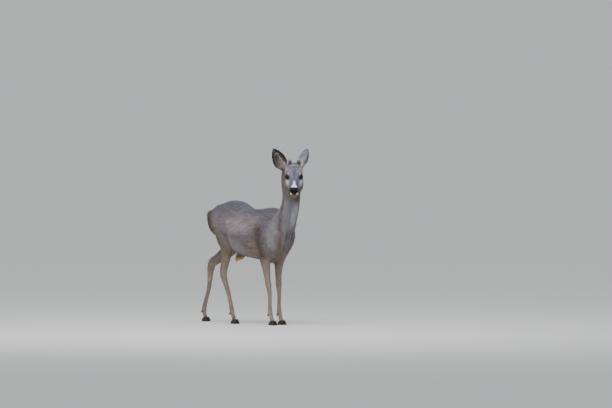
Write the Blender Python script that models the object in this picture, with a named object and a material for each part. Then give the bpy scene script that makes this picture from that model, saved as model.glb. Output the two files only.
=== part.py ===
"""A young roe deer standing still, its head turned over its right shoulder. Life size, metres, +Z up.

+X runs forward along the trunk and +Y to the animal's left. The flesh is lofted from rings, joined
into one body, and parted by thin planar cuts into the pieces that a person would name.
"""

import math

import bmesh
import bpy
import numpy as np
from mathutils import Matrix, Vector

# Driving dimensions
CUT_GAP = 0.0004
TRUNK_SPREAD = 2.15
LIMB_SPREAD = 2.1
RING_POINTS = 28
FLESH_VOXEL = 0.0035
FLESH_TRIANGLES = 4700
HEAD_FAVOUR = 6.0
MOST_FAVOUR = 0.9
MILLIMETRES = 1000.0

HEAD_YAW = math.radians(-42.0)
HEAD_PITCH = math.radians(32.0)
HEAD_LENGTH = 0.208
HEAD_CUT = -0.083
HEAD_BLEND = 0.03
NOSE_TIP = Vector((0.318, -0.116, 0.787))
EYE_RADIUS = 0.0138
EYE_PLACE = (-0.110, 0.0335, 0.0245)
EAR_WALL = 0.0035
BUD_HEIGHT = 0.035
BUD_RADIUS = 0.0082
BUD_LEAN_OUT = 0.12
BUD_LEAN_BACK = 0.20

HOOF_LENGTH = 0.046
HOOF_HALF_WIDTH = 0.0085
HOOF_TOP_FRONT = 0.027
HOOF_TOP_HEEL = 0.015
TOE_SPACING = 0.0096
TOE_TURN = math.radians(4.0)
DEWCLAW_HEIGHT = 0.058
DEWCLAW_SPACING = 0.0085

for item in list(bpy.data.objects):
    bpy.data.objects.remove(item, do_unlink=True)


# Materials
def finish(name, colour, roughness):
    """A plain opaque finish."""
    material = bpy.data.materials.new(name)
    material.use_nodes = True
    shader = material.node_tree.nodes["Principled BSDF"]
    shader.inputs["Base Color"].default_value = (*colour, 1.0)
    shader.inputs["Roughness"].default_value = roughness
    return material


COAT = finish("coat", (0.18, 0.14, 0.12), 0.9)
PALE_COAT = finish("pale_coat", (0.55, 0.51, 0.46), 0.9)
FACE_COAT = finish("face_coat", (0.22, 0.20, 0.20), 0.85)
LEG_COAT = finish("leg_coat", (0.24, 0.18, 0.13), 0.85)
EYE_GLOSS = finish("eye", (0.01, 0.008, 0.006), 0.08)
HOOF_HORN = finish("hoof_horn", (0.02, 0.018, 0.016), 0.45)
BUD_VELVET = finish("bud_velvet", (0.42, 0.38, 0.33), 0.9)


# Mesh tools
def add_object(name, mesh, material):
    """A new object in the scene that holds the mesh."""
    made = bpy.data.objects.new(name, mesh)
    made.data.materials.clear()
    made.data.materials.append(material)
    bpy.context.scene.collection.objects.link(made)
    return made


def mesh_from(name, points, faces):
    """A closed mesh with its faces turned outwards."""
    mesh = bpy.data.meshes.new(name)
    mesh.from_pydata([tuple(point) for point in points], [], faces)
    shape = bmesh.new()
    shape.from_mesh(mesh)
    bmesh.ops.recalc_face_normals(shape, faces=shape.faces)
    shape.to_mesh(mesh)
    shape.free()
    return mesh


def smooth_rows(rows, steps):
    """A Catmull-Rom curve through the rows, with so many steps from each row to the next."""
    rows = np.array(rows, float)
    padded = np.vstack([2 * rows[0] - rows[1], rows, 2 * rows[-1] - rows[-2]])
    smooth = []
    for index in range(1, len(rows)):
        before, start, end, after = padded[index - 1 : index + 3]
        for step in range(steps):
            t = step / steps
            smooth.append(
                0.5
                * (
                    2 * start
                    + (end - before) * t
                    + (2 * before - 5 * start + 4 * end - after) * t**2
                    + (3 * start - before - 3 * end + after) * t**3
                )
            )
    smooth.append(rows[-1])
    return np.array(smooth)


def skin_of_rings(rings):
    """The faces that join rings of equal length and close both ends."""
    count = len(rings[0])
    faces = []
    for ring in range(len(rings) - 1):
        for point in range(count):
            beside = (point + 1) % count
            low = ring * count
            faces.append((low + point, low + beside, low + count + beside, low + count + point))
    faces.append(tuple(range(count)))
    faces.append(tuple(range((len(rings) - 1) * count, len(rings) * count)))
    return faces


def loft(name, rows, spread=LIMB_SPREAD, steps=5, frame=None, count=RING_POINTS):
    """A body through rings. Each row is x, y, z, half size above, half size below, half width, turn.

    Above is the side that the path crossed with the side axis points to: up on a path that runs
    forward, and forward on a path that runs down. Turn rotates the side axis about Z, in degrees.
    """
    rows = smooth_rows(rows, steps)
    centres = rows[:, :3]
    rings = []
    for index, (x, y, z, above, below, half_width, turn) in enumerate(rows):
        nearest = centres[min(index + 1, len(rows) - 1)] - centres[max(index - 1, 0)]
        along = Vector(nearest).normalized()
        across = Matrix.Rotation(math.radians(turn), 3, "Z") @ Vector((0.0, 1.0, 0.0))
        across = (across - along * across.dot(along)).normalized()
        over = along.cross(across)
        ring = []
        for point in range(count):
            angle = 2 * math.pi * point / count
            cosine, sine = math.cos(angle), math.sin(angle)
            wide = math.copysign(abs(cosine) ** (2 / spread), cosine) * half_width
            tall = math.copysign(abs(sine) ** (2 / spread), sine) * (above if sine > 0 else below)
            ring.append(Vector((x, y, z)) + across * wide + over * tall)
        rings.append(ring)
    points = [point for ring in rings for point in ring]
    if frame is not None:
        points = [frame @ point for point in points]
    return mesh_from(name, points, skin_of_rings(rings))


def ball(name, centre, radii, frame=None, tilt=0.0, rings=10):
    """An ellipsoid, tilted about Y in degrees."""
    shape = bmesh.new()
    bmesh.ops.create_uvsphere(shape, u_segments=rings + 6, v_segments=rings, radius=1.0)
    place = Matrix.Translation(centre) @ Matrix.Rotation(math.radians(tilt), 4, "Y")
    place = place @ Matrix.Diagonal((*radii, 1.0))
    shape.transform(place if frame is None else frame @ place)
    mesh = bpy.data.meshes.new(name)
    shape.to_mesh(mesh)
    shape.free()
    return mesh


def joined(name, meshes):
    """One mesh holding them all, as separate closed bodies."""
    shape = bmesh.new()
    for mesh in meshes:
        shape.from_mesh(mesh)
    whole = bpy.data.meshes.new(name)
    shape.to_mesh(whole)
    shape.free()
    return whole


def applied(item):
    """The object's mesh with its modifiers applied, and the modifiers gone."""
    bpy.context.view_layer.update()
    graph = bpy.context.evaluated_depsgraph_get()
    item.data = bpy.data.meshes.new_from_object(item.evaluated_get(graph))
    item.modifiers.clear()
    return item


def thinned(item, triangles, favoured):
    """The object with so many triangles, more of them where favoured gives nearer to 1."""
    group = item.vertex_groups.new(name="fine")
    for vertex in item.data.vertices:
        group.add([vertex.index], MOST_FAVOUR * favoured(vertex.co), "REPLACE")
    # the thinning weighs squared distances, which are too small to tell apart in metres
    item.data.transform(Matrix.Scale(MILLIMETRES, 4))
    thin = item.modifiers.new("thin", "DECIMATE")
    thin.ratio = triangles / sum(len(face.vertices) - 2 for face in item.data.polygons)
    thin.vertex_group = group.name
    thin.invert_vertex_group = True
    thin.vertex_group_factor = HEAD_FAVOUR
    applied(item)
    item.vertex_groups.clear()
    item.data.transform(Matrix.Scale(1.0 / MILLIMETRES, 4))
    return item


def largest_body(item):
    """Removes the crumbs that a cut leaves beside the body it is meant to leave."""
    shape = bmesh.new()
    shape.from_mesh(item.data)
    waiting = set(shape.faces)
    bodies = []
    while waiting:
        body = []
        edge_of_body = [waiting.pop()]
        while edge_of_body:
            face = edge_of_body.pop()
            body.append(face)
            beside = {other for edge in face.edges for other in edge.link_faces} & waiting
            waiting -= beside
            edge_of_body += beside
        bodies.append(body)
    bodies.sort(key=lambda body: sum(face.calc_area() for face in body))
    for body in bodies[:-1]:
        bmesh.ops.delete(shape, geom=body, context="FACES")
    shape.to_mesh(item.data)
    shape.free()
    return item


def cut(item, operation, tool):
    """The Boolean of the object with a closed tool, which is then removed."""
    step = item.modifiers.new(operation.lower(), "BOOLEAN")
    step.operation = operation
    step.solver = "EXACT"
    step.object = tool
    applied(item)
    bpy.data.objects.remove(tool, do_unlink=True)
    return largest_body(item)


def half(item, name, point, normal, material):
    """A copy of the object's part on the side that the normal points to, closed over the cut."""
    shape = bmesh.new()
    shape.from_mesh(item.data)
    everything = shape.verts[:] + shape.edges[:] + shape.faces[:]
    result = bmesh.ops.bisect_plane(
        shape, geom=everything, plane_co=point, plane_no=normal, clear_inner=True
    )
    rim = [edge for edge in result["geom_cut"] if isinstance(edge, bmesh.types.BMEdge)]
    bmesh.ops.edgeloop_fill(shape, edges=rim)
    bmesh.ops.triangulate(shape, faces=shape.faces[:])
    bmesh.ops.recalc_face_normals(shape, faces=shape.faces)
    mesh = bpy.data.meshes.new(name)
    shape.to_mesh(mesh)
    shape.free()
    return add_object(name, mesh, material)


def part_in_two(item, names, point, normal, materials):
    """Parts the object by a thin planar cut: the first name gets the side that the normal points to."""
    normal = Vector(normal).normalized()
    shift = normal * CUT_GAP / 2
    upper = half(item, names[0], Vector(point) + shift, normal, materials[0])
    lower = half(item, names[1], Vector(point) - shift, -normal, materials[1])
    bpy.data.objects.remove(item, do_unlink=True)
    return upper, lower


# Trunk: rings from the chest back to the rump
# x, centre height, half size above, half size below, half width
TRUNK = [
    (0.142, 0.495, 0.040, 0.045, 0.034),
    (0.126, 0.500, 0.085, 0.090, 0.062),
    (0.080, 0.515, 0.135, 0.147, 0.086),
    (0.020, 0.530, 0.150, 0.170, 0.098),
    (-0.060, 0.533, 0.145, 0.161, 0.107),
    (-0.140, 0.537, 0.135, 0.154, 0.113),
    (-0.220, 0.547, 0.135, 0.151, 0.113),
    (-0.300, 0.567, 0.147, 0.132, 0.107),
    (-0.370, 0.585, 0.137, 0.120, 0.099),
    (-0.430, 0.600, 0.104, 0.105, 0.087),
    (-0.482, 0.605, 0.070, 0.085, 0.070),
    (-0.515, 0.606, 0.045, 0.055, 0.048),
    (-0.530, 0.606, 0.018, 0.025, 0.022),
]


def trunk():
    """The barrel, shoulders and rump."""
    rows = [(x, 0.0, z, over, under, wide, 180.0) for x, z, over, under, wide in TRUNK]
    return [loft("barrel", rows, spread=TRUNK_SPREAD)]


# Neck: rings from between the shoulders up to the back of the skull
# x, y, z, half size behind, half size in front, half width, turn
NECK = [
    (0.040, 0.000, 0.530, 0.082, 0.090, 0.082, 0.0),
    (0.084, 0.000, 0.585, 0.068, 0.088, 0.077, 0.0),
    (0.124, 0.000, 0.638, 0.054, 0.069, 0.064, -8.0),
    (0.153, 0.000, 0.692, 0.050, 0.055, 0.055, -20.0),
    (0.166, -0.002, 0.750, 0.050, 0.053, 0.053, -32.0),
    (0.173, -0.008, 0.810, 0.050, 0.053, 0.057, -40.0),
    (0.178, -0.015, 0.862, 0.048, 0.050, 0.058, -42.0),
    (0.182, -0.023, 0.898, 0.036, 0.035, 0.050, -42.0),
    (0.190, -0.016, 0.926, 0.018, 0.020, 0.030, -42.0),
]


def neck():
    """The upright neck, which turns to the right as it rises."""
    return [loft("neck", NECK)]


# Head: rings from the nose tip back to the poll, in the head's own frame
# distance back, centre height, half size above, half size below, half width
MUZZLE = [
    (0.000, -0.004, 0.011, 0.013, 0.0140),
    (0.006, -0.007, 0.020, 0.022, 0.0215),
    (0.018, -0.012, 0.031, 0.033, 0.0250),
    (0.035, -0.019, 0.0435, 0.046, 0.0275),
    (0.055, -0.020, 0.050, 0.051, 0.0320),
    (0.078, -0.018, 0.054, 0.056, 0.0345),
    (0.100, -0.012, 0.057, 0.058, 0.0400),
    (0.120, -0.007, 0.063, 0.063, 0.0470),
    (0.142, 0.000, 0.067, 0.065, 0.0510),
    (0.165, 0.007, 0.067, 0.062, 0.0490),
    (0.188, 0.012, 0.059, 0.053, 0.0420),
    (0.208, 0.014, 0.036, 0.034, 0.0280),
]
# rounded forms on the skull: place, radii and tilt about the side axis in degrees
CROWN = ((-0.165, 0.0, 0.056), (0.036, 0.036, 0.024), 18.0)
SWELLINGS = {
    "brow": ((-0.126, 0.0325, 0.043), (0.028, 0.0125, 0.010), 14.0),
    "temple": ((-0.150, 0.0290, 0.040), (0.032, 0.0190, 0.024), 0.0),
    "orbit": ((-0.120, 0.0285, 0.0235), (0.023, 0.0150, 0.020), 0.0),
    "cheek": ((-0.115, 0.0315, -0.026), (0.058, 0.0235, 0.044), 0.0),
    "jaw": ((-0.070, 0.0200, -0.042), (0.048, 0.0200, 0.025), 0.0),
    "nostril_wing": ((-0.010, 0.0130, 0.000), (0.011, 0.010, 0.012), 0.0),
    "ear_root": ((-0.178, 0.0370, 0.040), (0.028, 0.018, 0.022), 0.0),
}
HEAD_FRAME = (
    Matrix.Translation(NOSE_TIP)
    @ Matrix.Rotation(HEAD_YAW, 4, "Z")
    @ Matrix.Rotation(HEAD_PITCH, 4, "Y")
)


def mirrored(place, side):
    """The place on the left side for +1, and on the right for -1."""
    return (place[0], place[1] * side, place[2])


def head():
    """The skull and jaw with its brows, cheeks, lips and crown."""
    rows = [(-back, 0.0, z, over, under, wide, 0.0) for back, z, over, under, wide in reversed(MUZZLE)]
    shapes = [loft("skull", rows, frame=HEAD_FRAME)]
    shapes.append(ball("crown", *CROWN[:2], HEAD_FRAME, CROWN[2]))
    for name, (place, radii, tilt) in SWELLINGS.items():
        for side in (-1, 1):
            shapes.append(ball(name, mirrored(place, side), radii, HEAD_FRAME, tilt))
    return shapes


# Legs: rings from the body down to the coronet, and the foot's place on the floor
# x, y, z, half size in front, half size behind, half width
FORELEG = [
    (0.000, 0.056, 0.600, 0.075, 0.075, 0.034),
    (0.016, 0.062, 0.520, 0.078, 0.075, 0.040),
    (0.012, 0.062, 0.450, 0.060, 0.065, 0.040),
    (0.001, 0.057, 0.395, 0.040, 0.042, 0.033),
    (-0.003, 0.053, 0.345, 0.0275, 0.028, 0.0255),
    (-0.003, 0.050, 0.295, 0.0215, 0.0215, 0.0200),
    (-0.001, 0.049, 0.255, 0.0195, 0.0185, 0.0185),
    (0.001, 0.048, 0.235, 0.0200, 0.0185, 0.0195),
    (0.004, 0.047, 0.208, 0.0155, 0.0160, 0.0160),
    (0.008, 0.046, 0.170, 0.0125, 0.0135, 0.0130),
    (0.008, 0.045, 0.120, 0.0120, 0.0130, 0.0125),
    (0.009, 0.045, 0.092, 0.0135, 0.0160, 0.0145),
    (0.012, 0.045, 0.070, 0.0140, 0.0175, 0.0150),
    (0.019, 0.045, 0.048, 0.0120, 0.0135, 0.0135),
    (0.026, 0.045, 0.028, 0.0130, 0.0135, 0.0150),
    (0.027, 0.045, 0.006, 0.0130, 0.0135, 0.0160),
]
FOREFOOT = (0.030, 0.045)
FORWARD_STEP = 0.021
STEP_TOP = 0.400
HINDLEG_UNDER = [
    (-0.385, 0.046, 0.610, 0.085, 0.075, 0.044),
    (-0.360, 0.054, 0.535, 0.085, 0.068, 0.045),
    (-0.335, 0.058, 0.475, 0.062, 0.060, 0.040),
    (-0.333, 0.060, 0.430, 0.043, 0.044, 0.031),
    (-0.337, 0.061, 0.385, 0.031, 0.032, 0.0250),
    (-0.347, 0.061, 0.345, 0.024, 0.030, 0.0215),
    (-0.356, 0.061, 0.312, 0.0215, 0.030, 0.0200),
    (-0.357, 0.061, 0.280, 0.0200, 0.026, 0.0190),
    (-0.346, 0.061, 0.246, 0.0180, 0.0195, 0.0165),
    (-0.322, 0.061, 0.192, 0.0150, 0.0160, 0.0140),
    (-0.304, 0.061, 0.142, 0.0130, 0.0140, 0.0130),
    (-0.291, 0.061, 0.098, 0.0140, 0.0165, 0.0145),
    (-0.285, 0.061, 0.073, 0.0145, 0.0180, 0.0150),
    (-0.275, 0.061, 0.048, 0.0120, 0.0140, 0.0135),
    (-0.267, 0.061, 0.028, 0.0130, 0.0135, 0.0150),
    (-0.266, 0.061, 0.006, 0.0130, 0.0135, 0.0160),
]
HINDFOOT_UNDER = (-0.262, 0.061)
HINDLEG_BEHIND = [
    (-0.390, 0.046, 0.610, 0.085, 0.080, 0.044),
    (-0.375, 0.054, 0.535, 0.085, 0.085, 0.045),
    (-0.390, 0.058, 0.480, 0.064, 0.076, 0.040),
    (-0.440, 0.061, 0.436, 0.050, 0.052, 0.033),
    (-0.498, 0.062, 0.398, 0.037, 0.038, 0.027),
    (-0.552, 0.062, 0.368, 0.029, 0.032, 0.0225),
    (-0.592, 0.061, 0.345, 0.026, 0.034, 0.0200),
    (-0.609, 0.061, 0.315, 0.0235, 0.028, 0.0190),
    (-0.616, 0.061, 0.270, 0.0185, 0.0200, 0.0165),
    (-0.624, 0.061, 0.215, 0.0155, 0.0160, 0.0140),
    (-0.640, 0.061, 0.160, 0.0130, 0.0140, 0.0130),
    (-0.661, 0.061, 0.105, 0.0140, 0.0160, 0.0142),
    (-0.669, 0.061, 0.075, 0.0145, 0.0175, 0.0150),
    (-0.666, 0.061, 0.048, 0.0120, 0.0140, 0.0135),
    (-0.661, 0.061, 0.028, 0.0130, 0.0135, 0.0150),
    (-0.660, 0.061, 0.006, 0.0130, 0.0135, 0.0160),
]
HINDFOOT_BEHIND = (-0.656, 0.061)


def stepped(rows):
    """The foreleg's rings with the foot set forward, more so towards the floor."""
    moved = []
    for x, y, z, *sizes in rows:
        share = min(1.0, max(0.0, (STEP_TOP - z) / (STEP_TOP / 2)))
        moved.append((x + FORWARD_STEP * share, y, z, *sizes))
    return moved


# name: rings, foot centre on the floor, side
LEGS = {
    "foreleg_left": (FORELEG, FOREFOOT, 1),
    "foreleg_right": (stepped(FORELEG), (FOREFOOT[0] + FORWARD_STEP, FOREFOOT[1]), -1),
    "hindleg_left": (HINDLEG_BEHIND, HINDFOOT_BEHIND, 1),
    "hindleg_right": (HINDLEG_UNDER, HINDFOOT_UNDER, -1),
}


def leg(rows, side):
    """One leg, with its shoulder or haunch inside the trunk."""
    return [loft("leg", [(x, y * side, z, *sizes, 0.0) for x, y, z, *sizes in rows])]


# Tail and sheath
TAIL = [
    (-0.490, 0.0, 0.648, 0.020, 0.022, 0.024, 180.0),
    (-0.520, 0.0, 0.645, 0.018, 0.018, 0.020, 180.0),
    (-0.546, 0.0, 0.636, 0.014, 0.014, 0.016, 180.0),
    (-0.563, 0.0, 0.619, 0.007, 0.007, 0.008, 180.0),
]
SHEATH = [
    (-0.240, 0.0, 0.430, 0.030, 0.030, 0.026, 0.0),
    (-0.270, 0.0, 0.405, 0.030, 0.030, 0.020, 0.0),
    (-0.294, 0.0, 0.384, 0.018, 0.018, 0.013, 0.0),
    (-0.303, 0.0, 0.366, 0.005, 0.005, 0.005, 0.0),
]


def in_head(point):
    """How far the point lies in the head, from 0 to 1 over a few centimetres."""
    local = HEAD_FRAME.inverted() @ point
    inside = local.x > -HEAD_LENGTH - HEAD_BLEND
    return min(1.0, max(0.0, (local.z - HEAD_CUT) / HEAD_BLEND)) if inside else 0.0


def flesh():
    """The whole body without ears, eyes, buds and hooves, as one surface."""
    shapes = trunk() + neck() + head()
    shapes.append(loft("tail", TAIL))
    shapes.append(loft("sheath", SHEATH))
    for rows, _, side in LEGS.values():
        shapes += leg(rows, side)
    item = add_object("flesh", joined("flesh", shapes), COAT)
    remesh = item.modifiers.new("join", "REMESH")
    remesh.mode = "VOXEL"
    remesh.voxel_size = FLESH_VOXEL
    relax = item.modifiers.new("relax", "SMOOTH")
    relax.factor = 0.5
    relax.iterations = 8
    applied(item)
    return thinned(item, FLESH_TRIANGLES, in_head)


# Parting planes: a point on each, and its normal
NECK_BASE = ((0.045, 0.0, 0.700), (0.922, 0.0, 0.387))
TAIL_ROOT = ((-0.533, 0.0, 0.640), (-1.0, 0.0, 0.0))
# inner wall's y, height there, slope outwards, front x, back x
FORELEG_CUT = (0.012, 0.334, 1.35, 0.300, -0.085)
HINDLEG_CUT = (0.026, 0.425, 1.70, -0.262, -1.000)


def wedge(cut_sizes, side, grow):
    """A closed wedge round one leg: upright inside, sloping up and out through shoulder or haunch."""
    inner, height, slope, front, back = cut_sizes
    outer = 0.30
    rise = grow * math.hypot(1.0, slope)
    profile = [
        (inner - grow, -0.05),
        (inner - grow, height - slope * grow + rise),
        (outer, height + slope * (outer - inner) + rise),
        (outer, -0.05),
    ]
    rings = [[(x, y * side, z) for y, z in profile] for x in (back - grow, front + grow)]
    points = [point for ring in rings for point in ring]
    return add_object("wedge", mesh_from("wedge", points, skin_of_rings(rings)), COAT)


def copy_of(item, name, material):
    """A second object with its own copy of the mesh."""
    return add_object(name, item.data.copy(), material)


def grown(item):
    """A copy of the object pushed out by the gap, to cut its neighbours with."""
    tool = copy_of(item, "grown", COAT)
    push = tool.modifiers.new("push", "DISPLACE")
    push.strength = CUT_GAP
    push.mid_level = 0.0
    return applied(tool)


def part_flesh(body):
    """Parts the body into head, neck, trunk, tail and legs."""
    front, body = part_in_two(body, ("front", "rear"), *NECK_BASE, (COAT, COAT))
    under_jaw = HEAD_FRAME @ Vector((-0.15, 0.0, HEAD_CUT))
    head_up = HEAD_FRAME.to_3x3() @ Vector((0.0, 0.0, 1.0))
    skull, throat = part_in_two(front, ("head", "neck"), under_jaw, head_up, (FACE_COAT, COAT))
    pieces = {"head": skull, "neck": throat}
    for name, (_, _, side) in LEGS.items():
        sizes = FORELEG_CUT if name.startswith("fore") else HINDLEG_CUT
        limb = copy_of(body, name, LEG_COAT)
        pieces[name] = cut(limb, "INTERSECT", wedge(sizes, side, 0.0))
        cut(body, "DIFFERENCE", wedge(sizes, side, CUT_GAP))
    rear = part_in_two(body, ("tail", "trunk"), *TAIL_ROOT, (PALE_COAT, COAT))
    pieces["tail"], pieces["trunk"] = rear
    return pieces


# Hooves and dewclaws
def hoof_plane(foot, side):
    """A point on the sloping top of the hooves and its upward normal."""
    slope = (HOOF_TOP_FRONT - HOOF_TOP_HEEL) / (0.6 * HOOF_LENGTH)
    heel = Vector((foot[0] - 0.4 * HOOF_LENGTH, foot[1] * side, HOOF_TOP_HEEL))
    return heel, Vector((-slope, 0.0, 1.0)).normalized()


def toe(name, foot, side, outward):
    """One horn toe: flat sole, straight inner wall, front wall sloping down to the point."""
    heel, normal = hoof_plane(foot, side)
    # share of the length from heel to point, share of the width, height of the wall
    shares = [
        (0.00, 0.72, HOOF_TOP_HEEL),
        (0.12, 0.98, None),
        (0.36, 1.00, None),
        (0.60, 0.94, None),
        (0.80, 0.72, 0.62 * HOOF_TOP_FRONT),
        (0.94, 0.42, 0.30 * HOOF_TOP_FRONT),
        (1.00, 0.20, 0.16 * HOOF_TOP_FRONT),
    ]
    rings = []
    for along, wide, height in shares:
        x = along * HOOF_LENGTH
        top = height or HOOF_TOP_HEEL - normal.x / normal.z * x
        y = wide * HOOF_HALF_WIDTH
        base = [(-y, 0.0), (y, 0.0)]
        wall = [(y, 0.45 * top), (0.8 * y, top), (-0.8 * y, top), (-y, 0.45 * top)]
        rings.append([Vector((x, across, z)) for across, z in base + wall])
    turn = Matrix.Rotation(TOE_TURN * outward, 4, "Z")
    place = Matrix.Translation((heel.x, heel.y + TOE_SPACING * outward, 0.0)) @ turn
    points = [place @ point for ring in rings for point in ring]
    return add_object(name, mesh_from(name, points, skin_of_rings(rings)), HOOF_HORN)


def feet(pieces):
    """Cuts each leg off above its hooves, and adds the two toes and two dewclaws."""
    for name, (rows, foot, side) in LEGS.items():
        point, normal = hoof_plane(foot, side)
        limb = half(pieces[name], name + "_cut", point + normal * CUT_GAP, normal, LEG_COAT)
        bpy.data.objects.remove(pieces[name], do_unlink=True)
        limb.name = name
        pieces[name] = limb
        place = name.replace("leg", "")
        fetlock = min(rows, key=lambda row: abs(row[2] - DEWCLAW_HEIGHT - 0.014))
        for label, outward in (("left", 1), ("right", -1)):
            toe(f"hoof_{place}_{label}_toe", foot, side, outward)
            claw = dewclaw(f"dewclaw_{place}_{label}", fetlock, side, outward)
            cut(claw, "DIFFERENCE", grown(limb))


def dewclaw(name, fetlock, side, outward):
    """A small blunt claw behind the fetlock, pointing down and back."""
    x = fetlock[0] - fetlock[4]
    y = fetlock[1] * side + DEWCLAW_SPACING * outward
    rows = [
        (x + 0.012, y - 0.002 * outward, DEWCLAW_HEIGHT + 0.010, 0.0050, 0.0050, 0.0045, 0.0),
        (x + 0.005, y, DEWCLAW_HEIGHT + 0.004, 0.0060, 0.0060, 0.0052, 0.0),
        (x + 0.000, y + 0.001 * outward, DEWCLAW_HEIGHT - 0.005, 0.0042, 0.0042, 0.0040, 0.0),
        (x - 0.001, y + 0.001 * outward, DEWCLAW_HEIGHT - 0.009, 0.0018, 0.0018, 0.0018, 0.0),
    ]
    return add_object(name, loft(name, rows, steps=1, count=6), HOOF_HORN)


# Eyes, ears and antler buds
def eyes(pieces):
    """Two eyeballs, each in a socket cut from the head."""
    for label, side in (("left", 1), ("right", -1)):
        centre = mirrored(EYE_PLACE, side)
        socket = EYE_RADIUS + CUT_GAP
        tool = add_object("socket", ball("socket", centre, (socket,) * 3, HEAD_FRAME), COAT)
        cut(pieces["head"], "DIFFERENCE", tool)
        eye = ball("eye", centre, (EYE_RADIUS,) * 3, HEAD_FRAME, rings=8)
        add_object(f"eye_{label}", eye, EYE_GLOSS)


# share of the length, half width, depth of the cup, forward bend
EAR_RINGS = [
    (-0.10, 0.0140, 0.0130, 0.000),
    (0.03, 0.0220, 0.0190, 0.000),
    (0.16, 0.0340, 0.0220, 0.001),
    (0.32, 0.0375, 0.0215, 0.002),
    (0.50, 0.0355, 0.0175, 0.003),
    (0.68, 0.0295, 0.0125, 0.004),
    (0.84, 0.0200, 0.0080, 0.006),
    (0.94, 0.0115, 0.0050, 0.008),
    (1.00, 0.0045, 0.0030, 0.010),
]
EAR_SIDES = 6
EAR_HOLLOW_FROM = 0.15
EAR_RIM = 0.0015
# side, length, breadth against the rings, root in the head,
# then the directions of the tip and of the opening: forward, left, up
EARS = {
    "left": (1, 0.122, 1.00, (-0.180, 0.0400, 0.050), (-0.50, 0.27, 1.0), (-0.78, 0.62, 0.0)),
    "right": (-1, 0.122, 1.09, (-0.176, 0.0640, 0.044), (-0.20, -0.49, 1.0), (0.90, -0.26, 0.10)),
}


def ear(label):
    """One ear: a pointed cup with a solid root, open towards its last direction."""
    side, length, breadth, place, rise, facing = EARS[label]
    level = Matrix.Rotation(HEAD_YAW, 3, "Z")
    root = HEAD_FRAME @ Vector(mirrored(place, side))
    along = (level @ Vector(rise)).normalized()
    facing = level @ Vector(facing)
    facing = (facing - along * facing.dot(along)).normalized()
    across = along.cross(facing)
    rings = []
    for share, wide, deep, bend in smooth_rows(EAR_RINGS, 2) * (1.0, breadth, 1.0, 1.0):
        hollow = min(1.0, max(0.0, share / EAR_HOLLOW_FROM))
        middle = root + along * (share * length) + facing * bend
        outer, inner = [], []
        for step in range(EAR_SIDES):
            angle = math.pi * (step / (EAR_SIDES - 1) - 0.5)
            outer.append(middle + across * wide * math.sin(angle) - facing * deep * math.cos(angle))
            width = max(0.2 * wide, wide - EAR_WALL)
            depth = max(0.0, deep - EAR_WALL) * hollow
            inner.append(middle + across * width * math.sin(angle) - facing * depth * math.cos(angle))
        front = facing * EAR_RIM
        rings.append(outer + [point + front for point in reversed(inner)])
    points = [point for ring in rings for point in ring]
    return add_object(f"ear_{label}", mesh_from("ear", points, skin_of_rings(rings)), COAT)


BUD_ROOT = (-0.176, 0.0220, 0.060)
# share of the height, share of the radius
BUD_RINGS = [(0.0, 1.30), (0.45, 1.20), (0.72, 1.00), (0.92, 0.70), (1.0, 0.30)]


def bud(label, side):
    """A short antler bud in velvet, rising from the crown."""
    x, y, z = mirrored(BUD_ROOT, side)
    rows = []
    for share, wide in BUD_RINGS:
        height = share * BUD_HEIGHT
        size = wide * BUD_RADIUS
        out = BUD_LEAN_OUT * height * side
        rows.append((x - BUD_LEAN_BACK * height, y + out, z + height, size, size, size, 0.0))
    mesh = loft("bud", rows, steps=1, frame=HEAD_FRAME, count=12)
    return add_object(f"antler_bud_{label}", mesh, BUD_VELVET)


def stand_on_origin():
    """Moves every piece so that the middle of the whole, seen from above, is over the origin."""
    shown = list(bpy.context.scene.collection.objects)
    corners = np.array([vertex.co[:] for item in shown for vertex in item.data.vertices])
    middle = (corners.min(axis=0) + corners.max(axis=0)) / 2
    for item in shown:
        item.data.transform(Matrix.Translation((-middle[0], -middle[1], 0.0)))


deer = part_flesh(flesh())
feet(deer)
eyes(deer)
for ear_label, ear_sizes in EARS.items():
    horn = cut(bud(ear_label, ear_sizes[0]), "DIFFERENCE", grown(deer["head"]))
    shell = cut(ear(ear_label), "DIFFERENCE", grown(deer["head"]))
    cut(shell, "DIFFERENCE", grown(horn))
stand_on_origin()
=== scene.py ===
import math

import bpy
import numpy as np
from mathutils import Matrix, Vector, noise
from mathutils.bvhtree import BVHTree


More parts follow.
